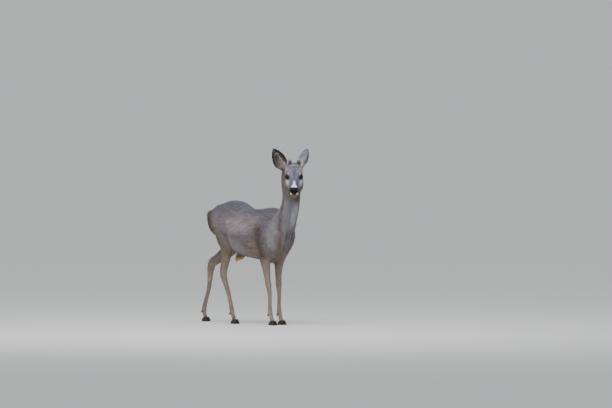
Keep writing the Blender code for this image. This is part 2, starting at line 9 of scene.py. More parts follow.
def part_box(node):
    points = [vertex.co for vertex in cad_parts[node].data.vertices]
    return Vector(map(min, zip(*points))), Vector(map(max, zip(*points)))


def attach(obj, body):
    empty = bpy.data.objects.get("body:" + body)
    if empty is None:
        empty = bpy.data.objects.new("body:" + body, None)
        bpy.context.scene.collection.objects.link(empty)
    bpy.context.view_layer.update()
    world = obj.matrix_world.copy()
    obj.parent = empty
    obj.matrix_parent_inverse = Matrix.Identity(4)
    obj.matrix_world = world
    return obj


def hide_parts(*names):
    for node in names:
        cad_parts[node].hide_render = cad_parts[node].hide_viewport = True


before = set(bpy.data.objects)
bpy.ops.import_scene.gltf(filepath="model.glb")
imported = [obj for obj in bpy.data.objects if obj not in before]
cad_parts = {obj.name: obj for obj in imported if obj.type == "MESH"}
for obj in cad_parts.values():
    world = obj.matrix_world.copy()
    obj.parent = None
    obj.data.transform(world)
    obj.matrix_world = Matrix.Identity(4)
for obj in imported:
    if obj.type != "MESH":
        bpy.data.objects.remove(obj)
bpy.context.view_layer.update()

# The hide
# One closed skin over the whole animal, from the nose to the tops of the hooves and the tips of the
# ears. It is taken from the solid body, closed over its parting cuts and relaxed until no facet is
# left. It lies under the coat's outline by the depth of the hair that stands on it.
# part: length, breadth and rise of its hair, and the coat's depth there
PARTS = {
    "head": (0.01, 0.0011, 0.1, 0.0014),
    "neck": (0.028, 0.0017, 0.1, 0.0038),
    "trunk": (0.03, 0.0021, 0.1, 0.0038),
    "tail": (0.026, 0.0018, 0.22, 0.003),
    **dict.fromkeys(("foreleg_left", "foreleg_right"), (0.013, 0.0013, 0.08, 0.0018)),
    **dict.fromkeys(("hindleg_left", "hindleg_right"), (0.015, 0.0014, 0.08, 0.002)),
    **dict.fromkeys(("ear_left", "ear_right"), (0.009, 0.001, 0.1, -0.0006)),
}
EYES = ("eye_left", "eye_right")
# millimetres in a metre
MM = 1000.0
CLOSING = 0.001
HIDE_VOXEL = 0.0022
BODY_TRIANGLES = 60000


def choose(*items):
    """Selects only these, with the first one active."""
    bpy.ops.object.select_all(action="DESELECT")
    for item in items:
        item.select_set(True)
    bpy.context.view_layer.objects.active = items[0]


def in_scene(name, data):
    """A new object made of this data, in the scene."""
    made = bpy.data.objects.new(name, data)
    bpy.context.scene.collection.objects.link(made)
    return made


def copied(names, piece):
    """One object made of copies of the solid nodes, with doubled points merged."""
    choose(*[in_scene(name + "_copy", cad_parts[name].data.copy()) for name in names])
    bpy.ops.object.join()
    whole = bpy.context.object
    whole.name = whole.data.name = piece
    whole.data.materials.clear()
    bpy.ops.object.mode_set(mode="EDIT")
    bpy.ops.mesh.select_all(action="SELECT")
    bpy.ops.mesh.remove_doubles(threshold=1e-6)
    bpy.ops.object.mode_set(mode="OBJECT")
    return whole


def finished(item, kind, **settings):
    """Adds a modifier with its settings and applies it."""
    step = item.modifiers.new(kind.lower(), kind)
    for setting, value in settings.items():
        setattr(step, setting, value)
    choose(item)
    bpy.ops.object.modifier_apply(modifier=step.name)


def values_of(items, name, width, kind=np.float32):
    """One property of all these items of a mesh, a row for each."""
    flat = np.empty(len(items) * width, kind)
    items.foreach_get(name, flat)
    return flat.reshape(-1, width)


def points_of(mesh):
    """The mesh's points as an array."""
    return values_of(mesh.vertices, "co", 3).astype(float)


def normals_of(mesh):
    """The outward direction at each point of the mesh."""
    return values_of(mesh.vertex_normals, "vector", 3).astype(float)


def place_points(mesh, points):
    """Moves the mesh's points to these places."""
    mesh.vertices.foreach_set("co", points.astype(np.float32).ravel())
    mesh.update()


def edges_of(mesh):
    """The two ends of each edge."""
    return values_of(mesh.edges, "vertices", 2, np.int32)


def evened(values, edges, rounds, share=0.5):
    """Values evened out with those of the points beside them, so many times."""
    ends = np.concatenate([edges[:, 0], edges[:, 1]])
    others = np.concatenate([edges[:, 1], edges[:, 0]])
    count = np.maximum(np.bincount(ends, minlength=len(values)), 1)[:, None]
    for _ in range(rounds):
        sums = [np.bincount(ends, column[others], len(values)) for column in values.T]
        values = values + share * (np.stack(sums, axis=1) / count - values)
    return values


def unit(vectors):
    """One vector, or each of many, at length 1."""
    return vectors / np.maximum(np.linalg.norm(vectors, axis=-1, keepdims=True), 1e-9)


def nearest_part(points):
    """The index in PARTS of the solid that lies nearest to each point."""
    corners, faces, labels = [], [], []
    for label, name in enumerate(PARTS):
        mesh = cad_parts[name].data
        start = len(corners)
        corners += [vertex.co.copy() for vertex in mesh.vertices]
        faces += [[start + index for index in face.vertices] for face in mesh.polygons]
        labels += [label] * len(mesh.polygons)
    tree = BVHTree.FromPolygons(corners, faces)
    return np.array([labels[tree.find_nearest(Vector(point))[2]] for point in points])


hide = copied([*PARTS, *EYES], "hide")
finished(hide, "DISPLACE", strength=CLOSING, mid_level=0.0)
finished(hide, "REMESH", mode="VOXEL", voxel_size=HIDE_VOXEL)
finished(hide, "SMOOTH", factor=0.5, iterations=6)

# the head and ears keep every point; the body under thick hair needs far fewer. It is thinned in
# millimetres, because the modifier leaves very small faces as they are
part_of = nearest_part(points_of(hide.data))
head_parts = [list(PARTS).index(name) for name in ("head", "ear_left", "ear_right")]
kept_fine = np.isin(part_of, head_parts)
fine = hide.vertex_groups.new(name="fine")
fine.add(np.flatnonzero(kept_fine).tolist(), 1.0, "REPLACE")
hide.data.transform(Matrix.Scale(MM, 4))
finished(
    hide,
    "DECIMATE",
    ratio=kept_fine.mean() + BODY_TRIANGLES / (2 * len(hide.data.polygons)),
    vertex_group="fine",
    invert_vertex_group=True,
)
hide.data.transform(Matrix.Scale(1.0 / MM, 4))
hide.vertex_groups.clear()

# The head's own directions: nose along -X turned to the right and dipped, left side to +Y
HEAD_TURN = math.radians(-42.0)
HEAD_DIP = math.radians(32.0)
EYE_MIDDLE = (-0.11, 0.0, 0.0245)
EYE_PLACE = (-0.11, 0.036, 0.0255)
eye_middles = [(Vector(low) + Vector(high)) / 2 for low, high in map(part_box, EYES)]
head_axes = np.array(Matrix.Rotation(HEAD_TURN, 3, "Z") @ Matrix.Rotation(HEAD_DIP, 3, "Y"))
nose_tip = np.array((eye_middles[0] + eye_middles[1]) / 2) - head_axes @ EYE_MIDDLE


def in_head(points):
    """The points seen from the nose tip, along the head's own directions."""
    return (points - nose_tip) @ head_axes


def from_head(points):
    """Points given in the head's own directions, back in the frame."""
    return points @ head_axes.T + nose_tip


def sided(place, side):
    """A place or direction on the left of the head, 1, or the same on its right, -1."""
    return np.array(place) * (1.0, side, 1.0)


def ramp(values, low, high):
    """0 up to low, 1 from high, and a smooth rise between them."""
    share = np.clip((values - low) / (high - low), 0.0, 1.0)
    return share * share * (3.0 - 2.0 * share)


# more points round the eyes, nostrils and mouth, where the forms are smallest
def refine(item, wanted):
    """Divides the faces whose corners are all wanted."""
    choose(item)
    bpy.ops.object.mode_set(mode="EDIT")
    bpy.ops.mesh.select_mode(type="VERT")
    bpy.ops.mesh.select_all(action="DESELECT")
    bpy.ops.object.mode_set(mode="OBJECT")
    item.data.vertices.foreach_set("select", wanted)
    bpy.ops.object.mode_set(mode="EDIT")
    bpy.ops.mesh.select_mode(type="FACE")
    bpy.ops.mesh.subdivide(number_cuts=1, smoothness=0.0)
    bpy.ops.mesh.select_all(action="SELECT")
    bpy.ops.mesh.quads_convert_to_tris()
    bpy.ops.object.mode_set(mode="OBJECT")


# evened and swollen by turns, so that the facets go and the form keeps its size
RELAX_ROUNDS = 14
edges = edges_of(hide.data)
points = points_of(hide.data)
for _ in range(RELAX_ROUNDS):
    points = evened(evened(points, edges, 1, 0.5), edges, 1, -0.52)
place_points(hide.data, points)

NEAR_EYE = 0.023
seen = in_head(points)
by_eye = [np.linalg.norm(points - np.array(middle), axis=1) < NEAR_EYE for middle in eye_middles]
by_mouth = np.linalg.norm((seen - (0.0, 0.0, -0.02)) / (0.06, 0.055, 0.07), axis=1) < 1.0
refine(hide, by_eye[0] | by_eye[1] | by_mouth)

# how much each point belongs to each part, fading over two or three centimetres
PART_FADE = 12
POLL_ROUNDS = 150
points = points_of(hide.data)
edges = edges_of(hide.data)
part_of = nearest_part(points)
belongs = evened(np.eye(len(PARTS))[part_of], edges, PART_FADE)
hair = belongs @ np.array(list(PARTS.values()))
seen = in_head(points)
muzzle = ramp(seen[:, 0], -0.1, -0.02) * belongs[:, 0]
points = points - normals_of(hide.data) * (CLOSING + hair[:, 3] * (1.0 - 0.5 * muzzle))[:, None]
poll = ramp(-seen[:, 0], 0.15, 0.185) * ramp(seen[:, 2], -0.05, 0.0) * (belongs[:, 0] + belongs[:, 1])
for _ in range(POLL_ROUNDS):
    points = points + poll[:, None] * (evened(points, edges, 1) - points)
place_points(hide.data, points)

# lids: a rounded rim round an almond opening, which the ball of the eye shows through
EYE_RADIUS = 0.0138
EYE_HALF_LENGTH = 0.015
UPPER_LID = 0.0104
LOWER_LID = 0.008
LID_RIM = 0.0015
GAZE = (0.62, 0.7, 0.34)


def eye_axes(side):
    """The eye's own directions: out of the head, along the opening towards the nose, and up."""
    out = unit(sided(GAZE, side))
    along = np.array([1.0, 0.0, 0.0])
    along = unit(along - out * along.dot(out))
    return out, along, np.cross(out, along) * side


def round_the_eye(spots, side):
    """Distance outside the lids' edge, height over the ball, and the direction out of its middle."""
    out, along, up = eye_axes(side)
    away = spots - sided(EYE_PLACE, side)
    reach = np.linalg.norm(away, axis=1)
    heading = away / np.maximum(reach, 1e-6)[:, None]
    angle = np.arccos(np.clip(heading @ out, -1.0, 1.0)) * EYE_RADIUS
    flat = unit(heading - np.outer(heading @ out, out)) * angle[:, None]
    across, height = flat @ along, flat @ up
    lid = np.where(height > 0.0, UPPER_LID, LOWER_LID)
    edge = np.abs(height) / lid + (across / EYE_HALF_LENGTH) ** 2
    return (edge - 1.0) * lid * 0.75, reach, heading, np.where(height > 0.0, 1.0, 0.0)


spots = in_head(points)
bare = np.zeros(len(spots))
for side in (-1, 1):
    outside, reach, heading, above = round_the_eye(spots, side)
    near = (reach < 0.027) & (heading @ eye_axes(side)[0] > -0.1)
    rim = EYE_RADIUS + LID_RIM * (1.0 + 0.5 * above)
    sunk = EYE_RADIUS - 0.0035 + (rim - EYE_RADIUS + 0.0035) * ramp(outside, -0.0012, 0.0006)
    blend_out = ramp(outside, 0.0022, 0.0085)
    natural = np.maximum(reach, EYE_RADIUS + 0.0006)
    wanted = np.where(outside < 0.0022, sunk, rim * (1.0 - blend_out) + natural * blend_out)
    spots = np.where(near[:, None], sided(EYE_PLACE, side) + heading * wanted[:, None], spots)
    bare = np.maximum(bare, near * (1.0 - ramp(outside, 0.0012, 0.0026)))

# nostrils, the cleft below the nose, the mouth and the gland in front of each eye
NOSTRIL = (-0.0065, 0.015, -0.0045)
MOUTH_FRONT = -0.03
MOUTH_SLOPE = 0.14
MOUTH_BACK = -0.056
GLAND_START = (-0.0965, 0.0425, 0.0175)
GLAND_RUN = (0.018, -0.0045, -0.0085)


def pressed(spots, amount, towards):
    """The points moved by so much along a direction in the head."""
    return spots + np.outer(amount, unit(np.array(towards)))


for side in (-1, 1):
    away = spots - sided(NOSTRIL, side)
    level = away[:, 1] * side * 0.85 + away[:, 2] * 0.53
    steep = away[:, 2] * 0.85 - away[:, 1] * side * 0.53
    comma = (steep - 25.0 * level**2) / 0.0022
    hole = np.exp(-((level / 0.0058) ** 4) - comma**2) * (np.abs(away[:, 0]) < 0.02)
    wing = np.exp(-((level / 0.008) ** 2) - ((steep - 25.0 * level**2 - 0.005) / 0.0026) ** 2)
    spots = pressed(spots, 0.007 * hole, (-1.0, -0.45 * side, -0.25))
    spots = pressed(spots, 0.0013 * wing * (away[:, 0] > -0.02), (0.5, 0.6 * side, 0.6))
    bare = np.maximum(bare, ramp(hole, 0.2, 0.6))

on_muzzle = belongs[:, 0] * ramp(spots[:, 0], MOUTH_BACK, MOUTH_BACK + 0.01)
mouth = spots[:, 2] - (MOUTH_FRONT + MOUTH_SLOPE * (spots[:, 0] + 0.008))
lips = np.exp(-((mouth / 0.0014) ** 2)) * on_muzzle
full = np.exp(-(((np.abs(mouth) - 0.0042) / 0.0028) ** 2)) * on_muzzle
cleft = np.exp(-((spots[:, 1] / 0.0011) ** 2)) * ramp(spots[:, 0], -0.02, -0.012)
cleft = cleft * ramp(spots[:, 2], MOUTH_FRONT, MOUTH_FRONT + 0.006) * (spots[:, 2] < -0.01)
inward = unit(spots * (0.35, -1.0, -1.0) + (-0.01, 0.0, -0.03))
spots = spots + inward * (0.0026 * lips + 0.001 * cleft - 0.0008 * full)[:, None]
bare = np.maximum(bare, np.maximum(ramp(lips, 0.45, 0.8), ramp(cleft, 0.4, 0.8)))

for side in (-1, 1):
    run = sided(GLAND_RUN, side)
    away = spots - sided(GLAND_START, side)
    share = np.clip(away @ run / run.dot(run), 0.0, 1.0)
    gap = np.linalg.norm(away - np.outer(share, run), axis=1)
    slit = np.exp(-((gap / 0.0013) ** 2)) * (1.0 - 0.6 * share)
    spots = pressed(spots, 0.0016 * slit, (0.0, -side, 0.0))
    bare = np.maximum(bare, 0.9 * ramp(slit, 0.5, 0.9))

relaxed = evened(spots, edges, 2)
spots = np.where((bare > 0.02)[:, None], relaxed, spots)
points = from_head(spots)
place_points(hide.data, points)
normals = normals_of(hide.data)


# The coat's colours
# Winter hair: grey-brown with browner buttocks and a paler belly. Painted on it are a bluish sheen of the
# sky along the top of the neck and back, highlights on the shoulders and thigh edges, and shade behind
# the elbows, in the coat's folds, under the belly and under the jaw. The face is slate blue with pale
# brows and cheeks, a white spot over the black nose and a golden chin.
def linear(hex_colour):
    """An sRGB hex colour as linear red, green and blue."""
    parts = np.array([int(hex_colour[index : index + 2], 16) for index in (1, 3, 5)]) / 255.0
    return np.where(parts <= 0.04045, parts / 12.92, ((parts + 0.055) / 1.055) ** 2.4)


def mixed(colours, hex_colour, share):
    """The colours with a share of another one mixed in."""
    return colours + np.clip(share, 0.0, 1.0)[:, None] * (linear(hex_colour) - colours)


def stroke(places, start, end, width, soft):
    """1 along a line between two places and 0 from this width away; a place may have 2 or 3 sizes."""
    start, end = np.array(start, float), np.array(end, float)
    run = end - start
    away = places - start
    share = np.clip(away @ run / max(run.dot(run), 1e-12), 0.0, 1.0)
    gap = np.linalg.norm((away - np.outer(share, run)) / np.array(width), axis=1)
    return 1.0 - ramp(gap, 1.0 - soft, 1.0)


def swell(places, size, seed):
    """Smooth noise from -1 to 1 that changes over about this size."""
    shift = Vector((seed * 7.3, seed * 3.1, seed * 5.7))
    return np.array([noise.noise(Vector(place) / size + shift) for place in places])


# part: colour of its back or front, and of its underside or rear
GROUND = {
    "head": ("#6d6c76", "#6f5f50"),
    "neck": ("#858186", "#7b787a"),
    "trunk": ("#6f6970", "#7b7068"),
    "tail": ("#8a7a6c", "#cfc8bb"),
    **dict.fromkeys(("foreleg_left", "foreleg_right"), ("#8a7c6e", "#8d7f70")),
    **dict.fromkeys(("hindleg_left", "hindleg_right"), ("#85776a", "#8e8071")),
    **dict.fromkeys(("ear_left", "ear_right"), ("#76737f", "#76737f")),
}
# markings on the body, and painted highlights and shade: colour, from, to, width, softness, strength,
# with the places in millimetres. All are on both sides: the widths are measured from a line, and Y from the
# animal's middle
MIDDLE_LINE = 0.008
BODY_MARKS = [
    ("#8d8184", (-200, 100, 600), (100, 100, 590), (120, 120, 75), 0.9, 0.9),
    ("#9b8f94", (-30, 100, 575), (50, 100, 570), (80, 80, 65), 0.9, 0.9),
    ("#8f878b", (-50, 100, 470), (20, 90, 440), (70, 80, 60), 0.8, 0.85),
    ("#7d7066", (90, 90, 470), (140, 90, 460), (60, 80, 60), 0.8, 0.7),
    # painted shade in the crease behind each elbow
    ("#54483e", (180, 100, 560), (190, 100, 415), (58, 90, 50), 1.0, 0.95),
    ("#675850", (-290, 100, 640), (-250, 100, 550), (70, 90, 60), 0.9, 0.75),
    # painted highlight on the point of each shoulder
    ("#938c91", (268, 80, 600), (268, 80, 480), (40, 60, 40), 0.9, 0.85),
    ("#66646d", (235, 0, 700), (290, 0, 840), (45, 60, 50), 0.9, 0.8),
    ("#6a6167", (225, 50, 660), (235, 90, 600), (50, 60, 50), 0.8, 0.6),
    ("#4a3524", (-335, 30, 640), (-300, 70, 480), (100, 110, 60), 0.8, 0.98),
    ("#74634f", (-210, 90, 520), (-130, 80, 420), (55, 60, 40), 0.8, 0.8),
    # a painted highlight along the fold between flank and thigh, with painted shade just behind it
    ("#a79a99", (-85, 100, 610), (-80, 100, 450), (12, 50, 12), 0.9, 0.7),
    ("#6b5e57", (-105, 100, 600), (-105, 100, 440), (12, 50, 12), 0.9, 0.55),
    # painted light and shade on ripples of the coat over the lower flank behind the elbow
    ("#b3a79c", (75, 100, 478), (115, 100, 470), (20, 50, 6), 0.8, 0.7),
    ("#61554d", (70, 100, 462), (125, 100, 455), (20, 50, 7), 0.8, 0.7),
    ("#a59a90", (60, 90, 440), (110, 90, 436), (20, 50, 6), 0.8, 0.55),
    # painted shade along the underside of the belly
    ("#403e34", (-80, 30, 390), (160, 30, 372), (50, 100, 42), 0.8, 0.9),
    ("#9a958a", (0, 70, 405), (120, 60, 395), (30, 50, 8), 0.8, 0.6),
    ("#b2b6c2", (385, 0, 700), (365, 0, 620), (40, 34, 40), 0.9, 0.8),
    ("#595253", (330, 50, 740), (315, 60, 570), (20, 20, 30), 0.8, 0.75),
    ("#b8b0b6", (335, 62, 820), (325, 68, 740), (18, 18, 30), 0.8, 0.75),
    # painted shadow on the throat under the jaw
    ("#584533", (370, 0, 800), (390, 0, 755), (45, 50, 30), 0.8, 0.9),
    ("#726c6d", (345, 0, 560), (325, 0, 470), (40, 50, 30), 0.8, 0.65),
    ("#383338", (345, 22, 545), (320, 22, 450), (60, 7.5, 30), 0.9, 0.75),
    ("#443d40", (350, 0, 540), (325, 0, 455), (60, 6, 30), 0.9, 0.6),
    ("#6a4d45", (320, 55, 540), (300, 55, 450), (20, 20, 30), 0.8, 0.7),
    ("#6d6252", (270, 30, 410), (230, 30, 385), (40, 50, 30), 0.8, 0.8),
    ("#efeae0", (-352, 0, 600), (-335, 0, 520), (40, 34, 30), 0.5, 1.0),
    ("#5f4438", (-460, 45, 350), (-490, 50, 230), (22, 40, 30), 0.7, 0.8),
    ("#5f4a3c", (-200, 45, 340), (-205, 50, 230), (22, 40, 30), 0.7, 0.7),
    ("#a39889", (-380, 45, 330), (-430, 45, 260), (22, 30, 30), 0.8, 0.5),
    ("#5c4d40", (125, 55, 400), (150, 50, 270), (22, 40, 30), 0.8, 0.7),
    ("#a89e94", (230, 55, 380), (232, 50, 150), (22, 30, 30), 0.9, 0.6),
    ("#7c6a4c", (-150, 20, 400), (-70, 20, 390), (40, 30, 30), 0.8, 0.7),
    ("#cfa55e", (-150, 0, 360), (-75, 0, 362), (50, 45, 40), 0.6, 1.0),
]
# markings on the head, seen from before it: across and height over the nose tip, in millimetres;
# those off the middle are on both sides
FACE_MARKS = [
    ("#7f6b5c", (70, 118), (72, 20), (22, 40), 1.0, 0.7),
    ("#5f6273", (0, 30), (0, 130), 30, 0.7, 0.95),
    ("#7b7d8c", (10, 120), (12, 75), 10, 0.9, 0.7),
    ("#4c4c59", (5, 112), (4, 70), 6, 0.9, 0.6),
    ("#8f939f", (38, 60), (34, 34), 17, 0.8, 0.9),
    ("#b9b9c4", (40, 60), (38, 44), 10, 0.9, 0.9),
    ("#5b4643", (0, 156), (20, 153), (12, 8), 0.7, 0.95),
    ("#a89a9c", (0, 142), (20, 138), (10, 3.5), 0.8, 0.7),
    ("#5e4a49", (0, 134), (18, 130), (10, 4.5), 0.8, 0.7),
    ("#c6bab4", (46, 143), (49, 104), 7, 0.8, 0.85),
    ("#b3a3a2", (30, 100), (32, 92), 7.5, 0.8, 0.8),
    ("#b5aaa8", (30, 126), (16, 98), 5, 0.9, 0.35),
    ("#c9beb8", (36, 124), (52, 102), 5, 0.9, 0.6),
    ("#2b2426", (31, 79), (29, 66), 5.2, 0.7, 0.85),
    ("#4b4d5b", (18, 50), (21, 26), 7, 0.9, 0.75),
    ("#f1f3f8", (0, 50), (0, 22), 6.4, 0.6, 1.0),
    ("#f1f3f8", (0, 42), (5.5, 24), 7.8, 0.6, 1.0),
    ("#f1f3f8", (0, 33), (10, 24), 7.6, 0.6, 1.0),
    ("#6a5a50", (40, 20), (32, -10), 12, 0.9, 0.75),
    ("#4c3727", (47, 16), (45, 6), 8.5, 0.9, 0.8),
    ("#f0ece6", (15.5, -15.5), (18, -18.5), 6.6, 0.5, 1.0),
]
# markings on the sides of the head and under it, in its own directions
HEAD_MARKS = [
    ("#5e4638", (-165, 62, 0), (-150, 60, -40), (40, 30, 36), 1.0, 0.75),
    ("#8b7a68", (-130, 50, -30), (-90, 45, -40), (30, 30, 24), 0.9, 0.7),
    ("#a3988c", (-100, 20, -75), (-150, 20, -85), (30, 30, 20), 0.8, 0.7),
    ("#7d6241", (-20, 0, -48), (-26, 16, -42), (24, 14, 15), 0.8, 0.95),
    ("#a5834f", (-12, 0, -43), (-16, 12, -39), (14, 8, 6), 0.8, 0.8),
    ("#5c432c", (-55, 34, -34), (-36, 26, -34), (18, 14, 8), 0.8, 0.8),
    ("#6d5a49", (-190, 0, 60), (-230, 0, 20), (30, 50, 30), 0.8, 0.8),
]
# inside each ear: across it and up from its root; the last is its golden root
EAR_MARKS = [
    ("#b4b0b2", (16, 20), (13, 78), (11, 16), 0.8, 0.85),
    ("#8f8d90", (-10, 78), (-4, 100), (10, 12), 0.8, 0.75),
    ("#8d7350", (-3, 12), (-6, 40), (17, 20), 0.9, 0.85),
]
NOSE_BLACK = "#08090c"
LID_BLACK = "#120e0d"
# the nose pad: from, to and width, in metres, as the face is seen from before it
NOSE_MARKS = [
    ((0.0, 0.004), (0.0, 0.004), (0.031, 0.0182)),
    ((0.0, 0.0), (0.0, -0.009), (0.019, 0.0125)),
]

COLOUR_FADE = 50
under = ramp(-normals[:, 2], -0.35, 0.75)[:, None]
tops = np.array([linear(top) for top, _ in GROUND.values()])
bottoms = np.array([linear(bottom) for _, bottom in GROUND.values()])
on_head = belongs[:, 0]
on_legs = belongs[:, 4:8].sum(axis=1)
worn = evened(belongs, edges, COLOUR_FADE)
to_trunk = worn[:, 4:8] * ramp(points[:, 2], 0.33, 0.47)[:, None]
worn[:, 4:8] -= to_trunk
worn[:, 2] += to_trunk.sum(axis=1)
coat_colour = worn @ tops * (1.0 - under) + worn @ bottoms * under
on_body = belongs[:, 1:8].sum(axis=1)
# painted sheen: the tops of the neck and back are tinted bluish grey, as the sky's reflection on the hair
sky_sheen = ramp(normals[:, 2], 0.55, 0.95) * belongs[:, [1, 2]].sum(axis=1) * ramp(points[:, 2], 0.5, 0.6)
coat_colour = mixed(coat_colour, "#60606d", 0.85 * sky_sheen)


def folded(places):
    """The places with the right side laid over the left."""
    return np.stack([places[:, 0], np.abs(places[:, 1]), places[:, 2]], axis=1)


def marked(colours, marks, places, where):
    """The colours with these markings and painted light and shade laid over them, as far as this place allows
    each one.
    """
    for colour, start, end, width, soft, strength in marks:
        line = (np.array(part) / MM for part in (start, end, width))
        share = strength * stroke(places, *line, soft)
        colours = mixed(colours, colour, share * where(start, end))
    return colours


def as_far_as(start, end):
    """Where a marking of the face holds: those of the chin, jaw and crown end early."""
    behind = CROWN_BACK if start[1] > 120 else POLL
    behind = CHIN_BACK if end[1] < 0 else JAW_BACK if end[1] < 10 else behind
    return before * ramp(spots[:, 0], behind - 0.018, behind + 0.012)


halved = folded(points - (0.0, MIDDLE_LINE, 0.0))
coat_colour = marked(coat_colour, BODY_MARKS, halved, lambda start, end: on_body)
# how far behind the nose tip the markings of the face may end
CHIN_BACK, JAW_BACK, CROWN_BACK, POLL = -0.055, -0.095, -0.18, -0.3
before = ramp(unit(normals @ head_axes)[:, 0], -0.25, 0.2) * on_head * ramp(spots[:, 0], -0.19, -0.15)
front_view = np.stack([np.abs(spots[:, 1]), -0.53 * spots[:, 0] + 0.848 * spots[:, 2]], axis=1)
coat_colour = marked(coat_colour, HEAD_MARKS, folded(spots), lambda start, end: on_head)
coat_colour = marked(coat_colour, FACE_MARKS, front_view, as_far_as)

# clumps of hair lighter or darker, a few millimetres to a few centimetres across
mottle = 0.13 * swell(points, 0.045, 3) + 0.19 * swell(points, 0.014, 4)
mottle = mottle + 0.1 * swell(points * (1.0, 1.0, 2.2), 0.007, 5)
coat_colour = coat_colour * (1.0 + mottle * (1.0 - 0.35 * on_head))[:, None]

# black: the nose pad, the lids and the skin that shows round the eyes, and the line of the mouth
nose_pad = np.zeros(len(points))
for start, end, width in NOSE_MARKS:
    nose_pad = np.maximum(nose_pad, stroke(front_view, start, end, width, 0.07))
pad_reach = np.hypot((spots[:, 0] + 0.012) / 0.034, (front_view[:, 1] - 0.002) / 0.026)
nose_pad = nose_pad * on_head * (1.0 - ramp(pad_reach, 0.94, 1.02))
coat_colour = mixed(coat_colour, NOSE_BLACK, nose_pad)
for side in (-1, 1):
    outside, reach, *_ = round_the_eye(spots, side)
    ring = (1.0 - ramp(outside, 0.0024, 0.006)) * (reach < 0.026)
    coat_colour = mixed(coat_colour, LID_BLACK, 0.92 * ring)
coat_colour = mixed(coat_colour, LID_BLACK, bare * (1.0 - nose_pad))
bare = np.maximum(bare, nose_pad)

# ears: each has its own line from root to tip, and a hollow that faces one way. Inside they are
# pale, with dark flecks above and a golden root, and their edges are black.
# ear: side, root, the way it rises, the way its hollow faces, length
EARS = {
    "ear_left": (1, (-0.18, 0.04, 0.05), (-0.5, 0.27, 1.0), (-0.78, 0.62, 0.0), 0.122),
    "ear_right": (-1, (-0.176, 0.064, 0.044), (-0.2, -0.49, 1.0), (0.9, -0.26, 0.1), 0.126),
}
head_level = np.array(Matrix.Rotation(HEAD_TURN, 3, "Z"))
ear_places = {}
ear_inside = np.zeros(len(points))
ear_edge = np.zeros(len(points))
for name, (side, root, rise, facing, length) in EARS.items():
    mine = belongs[:, list(PARTS).index(name)]
    along = unit(head_level @ np.array(rise))
    facing = head_level @ np.array(facing)
    facing = unit(facing - along * along.dot(facing))
    across = np.cross(along, facing)
    away = points - from_head(sided(root, side)[None])[0]
    up, sideways = away @ along / length, away @ across
    ear_places[name] = (along, facing, across, up, sideways, mine)
    level = np.clip((up * 24).astype(int), 0, 25)
    most, least = np.full(26, -1.0), np.full(26, 1.0)
    np.maximum.at(most, level[mine > 0.5], sideways[mine > 0.5])
    np.minimum.at(least, level[mine > 0.5], sideways[mine > 0.5])
    from_edge = np.minimum(most[level] - sideways, sideways - least[level])
    from_edge = np.minimum(from_edge, (1.0 - up) * length * 0.9)
    inside = ramp(normals @ facing, -0.05, 0.25) * mine
    ear_inside = np.maximum(ear_inside, inside)
    edge = (1.0 - ramp(from_edge, 0.0055, 0.0105)) * ramp(up, 0.08, 0.22)
    back_edge = (1.0 - ramp(from_edge, 0.002, 0.0065)) * ramp(up, 0.1, 0.3)
    ear_edge = np.maximum(ear_edge, mine * (edge * inside + 0.85 * back_edge * (1.0 - inside)))
    laid_flat = np.stack([sideways, up * length], axis=1)
    coat_colour = mixed(coat_colour, "#59544f", 0.95 * inside)
    coat_colour = marked(coat_colour, EAR_MARKS, laid_flat, lambda start, end: inside)
    golden = stroke(laid_flat, (-0.003, 0.012), (-0.006, 0.04), (0.017, 0.02), 0.9)
    flecks = ramp(swell(points, 0.01, 8) + 0.5 * swell(points, 0.005, 9), -0.05, 0.25) * ramp(up, 0.2, 0.5)
    coat_colour = mixed(coat_colour, "#1d191a", 0.8 * inside * flecks * (1.0 - 0.7 * golden))
    at_root = (1.0 - ramp(up, 0.1, 0.42)) * (1.0 - inside) * mine
    streaks = ramp(swell(points * (1.0, 1.0, 0.35), 0.006, 10), -0.1, 0.25)
    coat_colour = mixed(coat_colour, "#cfc5c2", 0.65 * at_root * streaks)
coat_colour = mixed(coat_colour, "#0f0c0d", 0.96 * ear_edge)


# The hide's finish
# Skin under hair: what shows between the locks is more hair, so it has the coat's own colours and
# fine bundles in relief. Bare skin on the nose, lids and lips is black, pebbled and moist.
def colour_points(mesh, colours, name="coat"):
    """Keeps one linear colour for each point of the mesh."""
    layer = mesh.attributes.new(name, "FLOAT_COLOR", "POINT")
    rgba = np.concatenate([colours, np.ones((len(colours), 1))], axis=1)
    layer.data.foreach_set("color", rgba.astype(np.float32).ravel())


def value_points(mesh, values, name):
    """Keeps one number for each point of the mesh."""
    layer = mesh.attributes.new(name, "FLOAT", "POINT")
    layer.data.foreach_set("value", values.astype(np.float32))


def add_node(finish, kind, links=(), **settings):
    """Adds a node; a capital letter starts the name of an input, and a small one a property."""
    made = finish.node_tree.nodes.new("ShaderNode" + kind)
    for name, value in settings.items():
        if name[0].isupper():
            made.inputs[name.replace("_", " ")].default_value = value
        else:
            setattr(made, name, value)
    for socket, source in dict(links).items():
        finish.node_tree.links.new(source, made.inputs[socket])
    return made


def new_finish(name, **settings):
    """A material and its main shader, with the shader's own settings."""
    finish = bpy.data.materials.new(name)
    finish.use_nodes = True
    shader = finish.node_tree.nodes["Principled BSDF"]
    for setting, value in settings.items():
        shader.inputs[setting.replace("_", " ")].default_value = value
    return finish, shader


def feed(finish, source, shader, socket):
    """Links one more output to the main shader."""
    finish.node_tree.links.new(source, shader.inputs[socket])


def shaded(finish, pattern, low, high):
    """The coat's own colour, made darker where a fine pattern is low and lighter where it is high."""
    colour = add_node(finish, "Attribute", attribute_name="coat").outputs["Color"]
    shade = add_node(
        finish, "MapRange", {"Value": pattern}, From_Min=0.3, From_Max=0.7, To_Min=low, To_Max=high
    ).outputs["Result"]
    return add_node(finish, "VectorMath", {0: colour, 1: shade}, operation="MULTIPLY").outputs["Vector"]


